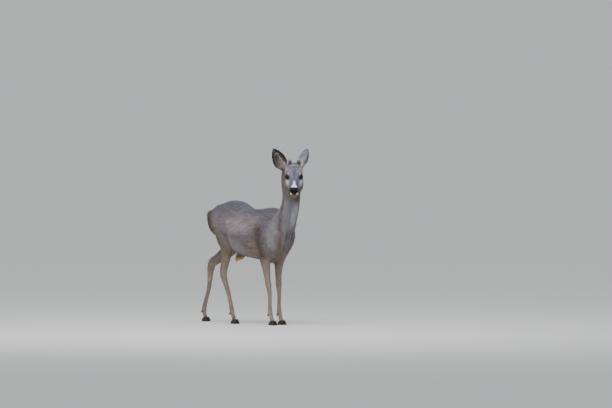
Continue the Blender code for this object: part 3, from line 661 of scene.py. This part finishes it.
# hair close to the skin: soft and matt. A hair is about 0.1 mm thick, so it is drawn as bundles of
# 1 to 2 mm. Bare skin has pebbles of about 1 mm and shines
skin_hair, shader = new_finish("short_winter_hair", Specular_IOR_Level=0.2)
place = add_node(skin_hair, "TexCoord").outputs["Object"]
wet = add_node(skin_hair, "Attribute", attribute_name="bare").outputs["Fac"]
fine = add_node(
    skin_hair, "TexNoise", {"Vector": place}, Scale=520.0, Detail=3.0, Roughness=0.6
).outputs["Fac"]
feed(skin_hair, shaded(skin_hair, fine, 0.74, 1.22), shader, "Base Color")
moist = add_node(skin_hair, "MapRange", {"Value": wet}, To_Min=0.78, To_Max=0.48).outputs["Result"]
feed(skin_hair, moist, shader, "Roughness")
pebbles = add_node(
    skin_hair, "TexVoronoi", {"Vector": place}, Scale=820.0, feature="SMOOTH_F1"
).outputs["Distance"]
relief = add_node(
    skin_hair, "Mix", {"Factor": wet, "A": fine, "B": pebbles}, data_type="FLOAT"
).outputs["Result"]
bump = add_node(skin_hair, "Bump", {"Height": relief}, Strength=0.55, Distance=0.0006)
feed(skin_hair, bump.outputs["Normal"], shader, "Normal")

colour_points(hide.data, coat_colour)
value_points(hide.data, bare, "bare")
hide.data.materials.append(skin_hair)
choose(hide)
bpy.ops.object.shade_smooth()
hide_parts(*PARTS)
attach(hide, "root")

# The coat
# Winter hair lies flat and overlaps like thatch: from the nose back over the head, down the neck,
# back and down over the body, and down the legs. Each tuft is a thin lock of a few hairs that
# starts in the skin and tapers to a bent tip. They are shortest on the face and feet.
def flat_on(normals, directions):
    """The directions laid flat on the skin."""
    return unit(directions - (directions * normals).sum(axis=1, keepdims=True) * normals)


# the way the hair lies on each part
LIE_ROUNDS = 6
lie_of_part = {name: np.tile((0.0, 0.0, -1.0), (len(points), 1)) for name in PARTS}
cheek = ramp(np.abs(spots[:, 1]), 0.012, 0.036)
head_lie = np.stack([-np.ones(len(spots)), 0.1 * np.sign(spots[:, 1]) * cheek, -0.45 * cheek], axis=1)
lie_of_part["head"] = head_lie @ head_axes.T + ramp(-spots[:, 0], 0.14, 0.2)[:, None] * (-0.3, 0.0, -1.6)
lie_of_part["neck"][:] = (-0.3, 0.0, -0.95)
rear = ramp(-points[:, 0], 0.2, 0.33)[:, None]
chest = ramp(points[:, 0], 0.2, 0.3)[:, None]
lie_of_part["trunk"] = np.array((-1.0, 0.0, -0.38)) + rear * (0.55, 0.0, -0.4) + chest * (0.75, 0.0, -0.6)
lie_of_part["tail"][:] = (-0.4, 0.0, -0.9)
for name in EARS:
    along, facing, across, up, sideways, mine = ear_places[name]
    off_middle = 0.9 * ramp(np.abs(sideways), 0.002, 0.015) * ear_inside
    inwards = -np.sign(sideways)[:, None] * across * off_middle[:, None]
    lie_of_part[name] = along + inwards + facing * 0.25 * ear_inside[:, None]
lie = sum(belongs[:, [index]] * way for index, way in enumerate(lie_of_part.values()))
lie = flat_on(normals, lie)
for _ in range(LIE_ROUNDS):
    lie = flat_on(normals, evened(lie, edges, 4))

# hair is shorter towards the nose, the hooves and the ears' tips and in the creases over the legs,
# and longer inside the ears; there and on the rump and sheath it stands up a little more
shorter = np.ones(len(points))
ear_root = np.zeros(len(points))
shorter *= 1.0 - on_head * 0.62 * ramp(spots[:, 0], -0.13, -0.01)
shorter *= 1.0 - on_legs * 0.5 * ramp(-points[:, 2], -0.4, -0.06)
for *_, up, sideways, mine in ear_places.values():
    shorter *= 1.0 - 0.45 * mine * ramp(up, 0.85, 1.0)
    ear_root = np.maximum(ear_root, ramp(up, 0.08, 0.3) * mine)
length_at = hair[:, 0] * shorter
breadth_at = hair[:, 1] * (0.4 + 0.6 * shorter)
rise_at = hair[:, 2].copy()
crease = ramp(on_legs * (1.0 - on_legs), 0.08, 0.22)
length_at = length_at * (1.0 - 0.45 * crease)
rise_at = rise_at * (1.0 - 0.6 * crease)
fringe = ear_inside * (1.0 - ear_edge) * ear_root
length_at = length_at + fringe * 0.008
breadth_at = breadth_at * (1.0 - 0.25 * fringe)
rise_at = rise_at + 0.22 * fringe
rump = stroke(halved, (-0.352, 0.0, 0.6), (-0.335, 0.0, 0.52), (0.04, 0.034, 0.03), 0.5)
sheath = stroke(halved, (-0.135, 0.0, 0.39), (-0.085, 0.0, 0.35), (0.03, 0.03, 0.03), 0.6)
rise_at = rise_at + 0.1 * rump + 0.12 * sheath
turned = np.radians(9.0) * swell(points, 0.035, 1) + np.radians(6.0) * swell(points, 0.012, 2)
lie = lie * np.cos(turned)[:, None] + np.cross(normals, lie) * np.sin(turned)[:, None]


def corners_of(mesh):
    """The three points of each triangle."""
    mesh.calc_loop_triangles()
    return values_of(mesh.loop_triangles, "vertices", 3, np.int32)


faces = corners_of(hide.data)
corners = points[faces]
face_area = np.linalg.norm(np.cross(corners[:, 1] - corners[:, 0], corners[:, 2] - corners[:, 0]), axis=1) / 2
face_part = belongs[faces].sum(axis=1).argmax(axis=1)
face_middle = corners.mean(axis=1)
face_spot = spots[faces].mean(axis=1)
crowd = face_area / (length_at * breadth_at)[faces].mean(axis=1) * (bare[faces].max(axis=1) < 0.35)

# the ten faces of a lock, and which of them look towards the skin
TUFT_FACES = [(0, 2, 1), (0, 1, 4), (0, 4, 3), (1, 2, 5), (1, 5, 4), (2, 0, 3), (2, 3, 5)]
TUFT_FACES = np.array([*TUFT_FACES, (3, 4, 6), (4, 5, 6), (5, 3, 6)])
UNDER_FACES = [1, 2, 7]
MOST_TUFTS = 19900
# how many locks lie over each other, and half the width of a lock's patch in the bake
THATCH = 4.4
BAKE_PATCH = 0.0015

# locks of hair: matt, each standing for a few hairs, darker at the root and paler at the tip
lock_hair, shader = new_finish("winter_locks", Roughness=0.62, Specular_IOR_Level=0.3)
colour = add_node(lock_hair, "Attribute", attribute_name="coat").outputs["Color"]
feed(lock_hair, colour, shader, "Base Color")


def mesh_of(name, places, triangles):
    """A new smooth object of triangles."""
    mesh = bpy.data.meshes.new(name)
    mesh.vertices.add(len(places))
    mesh.vertices.foreach_set("co", places.astype(np.float32).ravel())
    mesh.loops.add(len(triangles) * 3)
    mesh.loops.foreach_set("vertex_index", triangles.astype(np.int32).ravel())
    mesh.polygons.add(len(triangles))
    mesh.polygons.foreach_set("loop_start", np.arange(0, len(triangles) * 3, 3, dtype=np.int32))
    mesh.polygons.foreach_set("use_smooth", np.ones(len(triangles), bool))
    mesh.update(calc_edges=True)
    return in_scene(name, mesh)


def locks(root, up, way, long, broad, rise, bend):
    """The seven places of each lock: three at the root, three at its middle, and the tip."""
    side = np.cross(up, way)
    middle = root + (way + up * rise) * long * 0.5 + side * bend * long * 0.3
    places = [
        root - side * broad * 0.8,
        root + side * broad * 0.8,
        root + up * broad * 0.7,
        middle - side * broad,
        middle + side * broad,
        middle + up * broad * 0.6,
        root + (way + up * rise * 0.9 + side * bend) * long,
    ]
    return np.stack(places, axis=1).reshape(-1, 3)


def lock_piece(name, places, shades, home, up, side):
    """A piece made of locks, with their colours, their places for the bake and soft shading."""
    count = len(up)
    triangles = (np.arange(count)[:, None, None] * 7 + TUFT_FACES).reshape(-1, 3)
    piece = mesh_of(name, places, triangles)
    colour_points(piece.data, shades)
    offset = BAKE_PATCH * np.array([(-1, -1), (1, -1), (0, -1), (-1, 0), (1, 0), (0, 0), (0, 1)])
    spread = (home[:, None, :] + offset[None]).reshape(-1, 2).clip(0.0, 1.0)
    layer = piece.data.uv_layers.new(name="OFBake")
    layer.data.foreach_set("uv", spread[triangles.ravel()].astype(np.float32).ravel())
    leaning = np.array([-0.6, 0.6, 0.0, -0.6, 0.6, 0.0, 0.0])
    facing = unit((up[:, None, :] + side[:, None, :] * leaning[None, :, None]).reshape(-1, 3))
    facing = facing.reshape(count, 7, 3)[:, TUFT_FACES]
    facing[:, UNDER_FACES] = -up[:, None, None, :]
    piece.data.normals_split_custom_set(facing.reshape(-1, 3).tolist())
    piece.data.materials.append(lock_hair)
    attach(piece, "root")
    return piece


def comb(name, chosen, seed, unwrap):
    """Tufts rooted over the chosen faces of the skin, as one piece."""
    chance = np.random.default_rng(seed)
    weight = crowd * chosen
    count = min(int(THATCH * weight.sum()), MOST_TUFTS)
    which = chance.choice(len(faces), size=count, p=weight / weight.sum())
    first, second = chance.random(count) ** 0.5, chance.random(count)
    shares = np.stack([1.0 - first, first * (1.0 - second), first * second], axis=1)

    def at(values):
        return (values[faces[which]] * shares.reshape(count, 3, *[1] * (values.ndim - 1))).sum(axis=1)

    root, up = at(points), unit(at(normals))
    way = flat_on(up, at(lie))
    jitter = np.radians(chance.normal(0.0, 7.0, count))[:, None]
    way = way * np.cos(jitter) + np.cross(up, way) * np.sin(jitter)
    long = (at(length_at) * chance.uniform(0.7, 1.3, count))[:, None]
    broad = (at(breadth_at) * chance.uniform(0.7, 1.3, count))[:, None] / 2.0
    rise = (at(rise_at) * chance.uniform(0.5, 1.5, count))[:, None]
    bend = chance.normal(0.0, 0.05, count)[:, None]
    ends_bare = at(bare) > 0.05
    tips = root + way * long
    for side in (-1, 1):
        outside, reach, *_ = round_the_eye(in_head(tips), side)
        ends_bare |= (outside < 0.0012) & (reach < 0.022)
    keep = ~ends_bare
    root, up, way, long, broad, rise, bend = (
        values[keep] for values in (root - up * 0.0003, up, way, long, broad, rise, bend)
    )
    tone = chance.normal(1.0, 0.17, (count, 1)).clip(0.6, 1.5)
    along_tuft = np.array([0.66, 0.66, 0.72, 1.0, 1.0, 1.05, 1.18])
    shades = ((at(coat_colour) * tone)[:, None, :] * along_tuft[None, :, None])[keep].reshape(-1, 3)
    places = locks(root, up, way, long, broad, rise, bend)
    return lock_piece(name, places, shades, unwrap(root), up, np.cross(up, way))


def spread_between(values, low, high):
    """The values as shares from low to high, kept a little inside."""
    return np.clip((values - low) / (high - low), 0.0, 1.0) * 0.98 + 0.01


def round_head(places):
    """The head opened out flat round the nose tip."""
    seen = in_head(places)
    angle = np.arctan2(seen[:, 2] + 0.07 * seen[:, 0], seen[:, 1])
    far = np.clip((0.012 - seen[:, 0]) / 0.24, 0.0, 1.0) * 0.49
    return 0.5 + far[:, None] * np.stack([np.cos(angle), np.sin(angle)], axis=1)


def along_trunk(places):
    """One side of the trunk opened out flat."""
    angle = np.arctan2(np.abs(places[:, 1] - MIDDLE_LINE), places[:, 2] - 0.55)
    return np.stack([spread_between(places[:, 0], -0.4, 0.36), spread_between(angle, 0.0, math.pi)], axis=1)


def round_neck(places):
    """The neck opened out flat from its nape."""
    middle = 0.27 + (places[:, 2] - 0.5) * 0.32
    angle = np.arctan2(places[:, 1] - 0.005, places[:, 0] - middle)
    around, upwards = spread_between(angle, -math.pi, math.pi), spread_between(places[:, 2], 0.45, 0.86)
    return np.stack([around, upwards], axis=1)


def round_legs(places):
    """Each of a pair of legs opened out flat, the left one beside the right."""
    left = places[:, 1] > MIDDLE_LINE
    level = np.clip((places[:, 2] * 50).astype(int), 0, 40) + 41 * left
    count = np.maximum(np.bincount(level, minlength=82), 1)
    x, y = (np.bincount(level, places[:, axis], 82) / count for axis in (0, 1))
    angle = np.arctan2(places[:, 1] - y[level], places[:, 0] - x[level])
    across = spread_between(angle, -math.pi, math.pi) * 0.49 + 0.5 * left
    return np.stack([across, spread_between(places[:, 2], 0.0, 0.6)], axis=1)


def both_ears(places):
    """The two ears laid flat beside each other, each with its inside beside its back."""
    flat = np.zeros((len(places), 2))
    for index, name in enumerate(EARS):
        along, facing, across, *_ = ear_places[name]
        away = places - (np.array(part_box(name)[0]) + np.array(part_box(name)[1])) / 2
        mine = (places[:, 0] > 0.383) == (index == 0)
        back = away @ facing < 0.0
        u = spread_between(away @ across, -0.05, 0.05) * 0.24 + 0.5 * index + 0.25 * back
        v = spread_between(away @ along, -0.075, 0.075)
        flat = np.where(mine[:, None], np.stack([u, v], axis=1), flat)
    return flat


where = {name: face_part == index for index, name in enumerate(PARTS)}
left = face_middle[:, 1] > MIDDLE_LINE
left_face = face_spot[:, 1] > 0.0
muzzle_end = face_spot[:, 0] > -0.125
legs = {pair: where[pair + "leg_left"] | where[pair + "leg_right"] for pair in ("fore", "hind")}
comb("coat_face_left", where["head"] & muzzle_end & left_face, 11, round_head)
comb("coat_face_right", where["head"] & muzzle_end & ~left_face, 10, round_head)
comb("coat_crown", where["head"] & ~muzzle_end, 12, round_head)
comb("coat_ears", where["ear_left"] | where["ear_right"], 13, both_ears)
comb("coat_neck", where["neck"], 14, round_neck)
comb("coat_trunk_left", where["trunk"] & left, 15, along_trunk)
comb("coat_trunk_right", where["trunk"] & ~left, 16, along_trunk)
comb("coat_forelegs", legs["fore"], 17, round_legs)
comb("coat_hindlegs", legs["hind"], 18, round_legs)
comb("coat_tail", where["tail"], 19, along_trunk)

# The eyes
# A glossy ball with a clear bulge over the iris: dark brown, with a wide level pupil and a darker
# edge. Short dark lashes stand on the upper lid.
eye_gloss, shader = new_finish("wet_eye", Roughness=0.04, IOR=1.34, Specular_IOR_Level=0.45)
colour = add_node(eye_gloss, "Attribute", attribute_name="iris").outputs["Color"]
feed(eye_gloss, colour, shader, "Base Color")
for side, name in ((1, "eye_left"), (-1, "eye_right")):
    middle = from_head(sided(EYE_PLACE, side)[None])[0]
    bpy.ops.object.select_all(action="DESELECT")
    bpy.ops.mesh.primitive_uv_sphere_add(segments=96, ring_count=64, radius=EYE_RADIUS, location=middle)
    ball = bpy.context.object
    ball.name = ball.data.name = name.replace("eye", "eyeball")
    bpy.ops.object.transform_apply(location=True, rotation=True, scale=True)
    out, along, up = (head_axes @ axis for axis in eye_axes(side))
    away = unit(points_of(ball.data) - middle)
    angle = np.arccos(np.clip(away @ out, -1.0, 1.0))
    bulge = 0.0012 * np.exp(-((angle / 0.5) ** 2))
    place_points(ball.data, middle + away * (EYE_RADIUS + bulge)[:, None])
    level, steep = away @ along, away @ up
    shades = np.tile(linear("#0e0908"), (len(away), 1))
    shades = mixed(shades, "#1c0f08", 1.0 - ramp(angle, 0.55, 0.68))
    shades = mixed(shades, "#26150a", 0.6 * ramp(angle, 0.3, 0.45) * (1.0 - ramp(angle, 0.5, 0.6)))
    pupil = np.sqrt((level / 0.42) ** 2 + (steep / 0.24) ** 2)
    shades = mixed(shades, "#030304", 1.0 - ramp(pupil, 0.85, 1.05))
    colour_points(ball.data, shades, "iris")
    bpy.ops.object.shade_smooth()
    ball.data.materials.append(eye_gloss)
    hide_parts(name)
    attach(ball, "root")

# Lashes and whiskers
# Stiff dark hairs, each rooted alone: a row along the upper lids, and a few long ones on the lips,
# the chin and over the eyes. They are about 0.3 mm thick and taper to nothing.
def stiff_hairs(name, roots, ways, lengths, thick, bend_to, colour, seed):
    """Single hairs from these roots in these directions, as one piece."""
    chance = np.random.default_rng(seed)
    count = len(roots)
    long = np.array(lengths)[:, None] * chance.uniform(0.75, 1.2, (count, 1))
    broad = np.full((count, 1), thick)
    ways = unit(ways + chance.normal(0.0, 0.1, (count, 3)))
    up = flat_on(ways, np.tile(bend_to, (count, 1)))
    places = locks(roots, up, ways, long, broad, np.full((count, 1), 0.18), np.zeros((count, 1)))
    shades = np.tile(linear(colour), (count * 7, 1))
    return lock_piece(name, places, shades, round_head(roots), up, np.cross(up, ways))


LASHES = 46
lash_roots, lash_ways, lash_lengths = [], [], []
for side in (-1, 1):
    out, along, up = eye_axes(side)
    for share in np.linspace(-0.92, 0.8, LASHES):
        across = share * EYE_HALF_LENGTH
        height = UPPER_LID * (1.0 - share**2) + 0.0006
        reach = math.hypot(across, height)
        heading = unit(out + math.tan(reach / EYE_RADIUS) * (along * across + up * height) / reach)
        lash_roots.append(sided(EYE_PLACE, side) + heading * (EYE_RADIUS + 0.0019))
        lash_ways.append(heading * 0.9 + up * 0.35 - along * 0.25 * (0.4 - share))
        lash_lengths.append(0.0085 - 0.003 * abs(share))
lash_roots, lash_ways = from_head(np.array(lash_roots)), np.array(lash_ways) @ head_axes.T
stiff_hairs("lashes", lash_roots, lash_ways, lash_lengths, 0.00016, (0.0, 0.0, 1.0), "#0d0b0c", 31)

# side lip, chin and brow: from, to, how many, length, direction
WHISKERS = [
    ((-0.02, 0.026, -0.018), (-0.045, 0.034, -0.022), 11, 0.03, (-0.2, 1.0, -0.35)),
    ((-0.018, 0.024, -0.026), (-0.034, 0.028, -0.029), 7, 0.026, (0.0, 0.9, -0.6)),
    ((-0.012, 0.006, -0.048), (-0.03, 0.012, -0.052), 6, 0.02, (0.1, 0.4, -1.0)),
    ((-0.098, 0.036, 0.046), (-0.112, 0.038, 0.048), 4, 0.026, (0.2, 0.5, 0.9)),
]
chance = np.random.default_rng(32)
hide_tree = BVHTree.FromPolygons([Vector(point) for point in points], faces.tolist())
roots, ways, lengths = [], [], []
for start, end, count, length, way in WHISKERS:
    for side in (-1, 1):
        for share in chance.random(count):
            spot = np.array(start) * (1.0 - share) + np.array(end) * share + chance.normal(0.0, 0.0022, 3)
            place = Vector(from_head(sided(spot, side)[None])[0])
            roots.append(np.array(hide_tree.find_nearest(place)[0]))
            ways.append(head_axes @ sided(way, side))
            lengths.append(length)
stiff_hairs("whiskers", np.array(roots), np.array(ways), lengths, 0.00013, (0.0, 0.0, -1.0), "#1a1716", 33)

# The antler buds
# Two short knobs of new antler on the brow, still in velvet: soft skin with a dense pile of very
# short hair, slate grey at the foot and pale at the rounded tip.
velvet, shader = new_finish("antler_velvet", Roughness=0.85, Sheen_Weight=0.3, Sheen_Roughness=0.5)
place = add_node(velvet, "TexCoord").outputs["Object"]
pile = add_node(velvet, "TexNoise", {"Vector": place}, Scale=1400.0, Detail=3.0, Roughness=0.7).outputs["Fac"]
feed(velvet, shaded(velvet, pile, 0.7, 1.25), shader, "Base Color")
bump = add_node(velvet, "Bump", {"Height": pile}, Strength=0.8, Distance=0.0005)
feed(velvet, bump.outputs["Normal"], shader, "Normal")
PILE_HAIRS = 1500
BUD_STRETCH = 1.18
for name in ("antler_bud_left", "antler_bud_right"):
    bud = copied([name], name.replace("antler", "velvet"))
    finished(bud, "REMESH", mode="VOXEL", voxel_size=0.0009)
    finished(bud, "SMOOTH", factor=0.5, iterations=8)
    bud_points = points_of(bud.data)
    low, high = bud_points[:, 2].min(), bud_points[:, 2].max()
    height = (bud_points[:, 2] - low) / (high - low)
    lumps = 0.0004 * swell(bud_points, 0.006, 21) + 0.0004
    bud_points[:, 2] = low + (bud_points[:, 2] - low) * BUD_STRETCH
    place_points(bud.data, bud_points + normals_of(bud.data) * lumps[:, None])
    shades = np.tile(linear("#4f4c57"), (len(height), 1))
    shades = mixed(shades, "#7d7474", ramp(height, 0.35, 0.7))
    shades = mixed(shades, "#c4bab2", ramp(height + 0.1 * swell(bud_points, 0.004, 22), 0.7, 0.95))
    colour_points(bud.data, shades)
    bpy.ops.object.shade_smooth()
    bud.data.materials.append(velvet)
    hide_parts(name)
    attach(bud, "root")
    # its pile: hairs of 2 to 4 mm that stand out and lean up the bud
    chance = np.random.default_rng(len(name))
    chosen = chance.choice(len(bud_points), PILE_HAIRS)
    up = unit(normals_of(bud.data)[chosen])
    way = unit(flat_on(up, np.tile((0.0, 0.0, 1.0), (PILE_HAIRS, 1))) + up * 0.5)
    root = points_of(bud.data)[chosen]
    one_each = np.ones((PILE_HAIRS, 1))
    long = chance.uniform(0.0022, 0.004, (PILE_HAIRS, 1))
    bend = chance.normal(0.0, 0.1, (PILE_HAIRS, 1))
    places = locks(root, up, way, long, one_each * 0.00022, one_each * 0.1, bend)
    tone = chance.normal(1.05, 0.15, (PILE_HAIRS, 1, 1))
    shades = (shades[chosen][:, None, :] * tone * np.ones((1, 7, 1))).reshape(-1, 3)
    lock_piece("pile_" + bud.name, places, shades, round_head(root), up, np.cross(up, way))

# The hooves and dewclaws
# Cloven hooves of black-brown horn, two toes on each foot, and the small dewclaws behind them.
# Horn grows down from the hair in fine rings, and is smooth and slightly shiny, duller in patches.
hoof_horn, shader = new_finish("hoof_horn", Specular_IOR_Level=0.45)
place = add_node(hoof_horn, "TexCoord").outputs["Object"]
rings = add_node(
    hoof_horn,
    "TexWave",
    {"Vector": place},
    Scale=150.0,
    Distortion=2.5,
    Detail=2.0,
    bands_direction="Z",
).outputs["Fac"]
grain = add_node(hoof_horn, "TexNoise", {"Vector": place}, Scale=300.0, Detail=4.0).outputs["Fac"]
blend = add_node(hoof_horn, "ValToRGB", {"Fac": grain})
blend.color_ramp.elements[0].position = 0.3
blend.color_ramp.elements[0].color = (*linear("#141110"), 1.0)
blend.color_ramp.elements[1].position = 0.75
blend.color_ramp.elements[1].color = (*linear("#3a3029"), 1.0)
feed(hoof_horn, blend.outputs["Color"], shader, "Base Color")
dull = add_node(hoof_horn, "MapRange", {"Value": grain}, To_Min=0.32, To_Max=0.6).outputs["Result"]
feed(hoof_horn, dull, shader, "Roughness")
bump = add_node(hoof_horn, "Bump", {"Height": rings}, Strength=0.35, Distance=0.0004)
feed(hoof_horn, bump.outputs["Normal"], shader, "Normal")
CLAW_STANDS = 0.003
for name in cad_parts:
    if name.startswith(("hoof", "dewclaw")):
        horn = copied([name], name.replace("hoof", "horn").replace("dewclaw", "claw"))
        edge_from = math.radians(28.0)
        finished(horn, "BEVEL", width=0.001, segments=3, limit_method="ANGLE", angle_limit=edge_from)
        if name.startswith("dewclaw"):
            # drawn in until it is rooted in the skin
            claw_points = points_of(horn.data)
            middle = Vector(claw_points.mean(axis=0))
            skin_place = hide_tree.find_nearest(middle)[0]
            sink = max(0.0, (middle - skin_place).length - CLAW_STANDS)
            place_points(horn.data, claw_points + np.array((skin_place - middle).normalized()) * sink)
        choose(horn)
        bpy.ops.object.shade_smooth_by_angle(angle=math.radians(50.0))
        horn.data.materials.append(hoof_horn)
        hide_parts(name)
        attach(horn, "root")

# The floor, the light and the camera
# A very wide pale floor, soft light from a large overcast window, and the camera far off and low.
FLOOR_RADIUS = 3000.0
bpy.ops.object.select_all(action="DESELECT")
bpy.ops.mesh.primitive_circle_add(vertices=96, radius=FLOOR_RADIUS, fill_type="NGON")
floor = bpy.context.object
floor.name = floor.data.name = "floor"
pale, shader = new_finish("pale_floor", Roughness=0.9)
shader.inputs["Base Color"].default_value = (*linear("#dddddb"), 1.0)
floor.data.materials.append(pale)

# a soft room: brightest overhead, and as pale as the floor at the horizon
world = bpy.data.worlds.new("soft_room")
bpy.context.scene.world = world
world.use_nodes = True
nodes, links = world.node_tree.nodes, world.node_tree.links
height = nodes.new("ShaderNodeSeparateXYZ")
links.new(nodes.new("ShaderNodeTexCoord").outputs["Generated"], height.inputs["Vector"])
glow = nodes.new("ShaderNodeValToRGB")
links.new(height.outputs["Z"], glow.inputs["Fac"])
glow.color_ramp.elements[0].color = (0.52, 0.524, 0.53, 1.0)
glow.color_ramp.elements[1].color = (0.86, 0.88, 0.92, 1.0)
links.new(glow.outputs["Color"], nodes["Background"].inputs["Color"])
nodes["Background"].inputs["Strength"].default_value = 1.0

# one square soft light, turned towards the animal
light = bpy.data.lights.new("key_light", "AREA")
light.size = 2.6
light.energy = 110.0
key_light = in_scene("key_light", light)
key_light.location = Vector((1.2, -1.6, 3.4))
towards = Vector((0.0, 0.0, 0.5)) - key_light.location
key_light.rotation_euler = towards.to_track_quat("-Z", "Y").to_euler()

CAMERA_TURN = math.radians(48.0)
CAMERA_RISE = math.radians(1.5)
CAMERA_AWAY = 49.4
target = Vector((0.3107, 0.1531, 0.703))
heading = Vector((math.sin(CAMERA_TURN), -math.cos(CAMERA_TURN), math.tan(CAMERA_RISE))).normalized()
lens = bpy.data.cameras.new("camera")
lens.lens = 500.0
lens.clip_end = 2.0 * FLOOR_RADIUS + 2000.0
camera = in_scene("camera", lens)
camera.location = target + heading * CAMERA_AWAY
camera.rotation_euler = (-heading).to_track_quat("-Z", "Y").to_euler()
bpy.context.scene.camera = camera
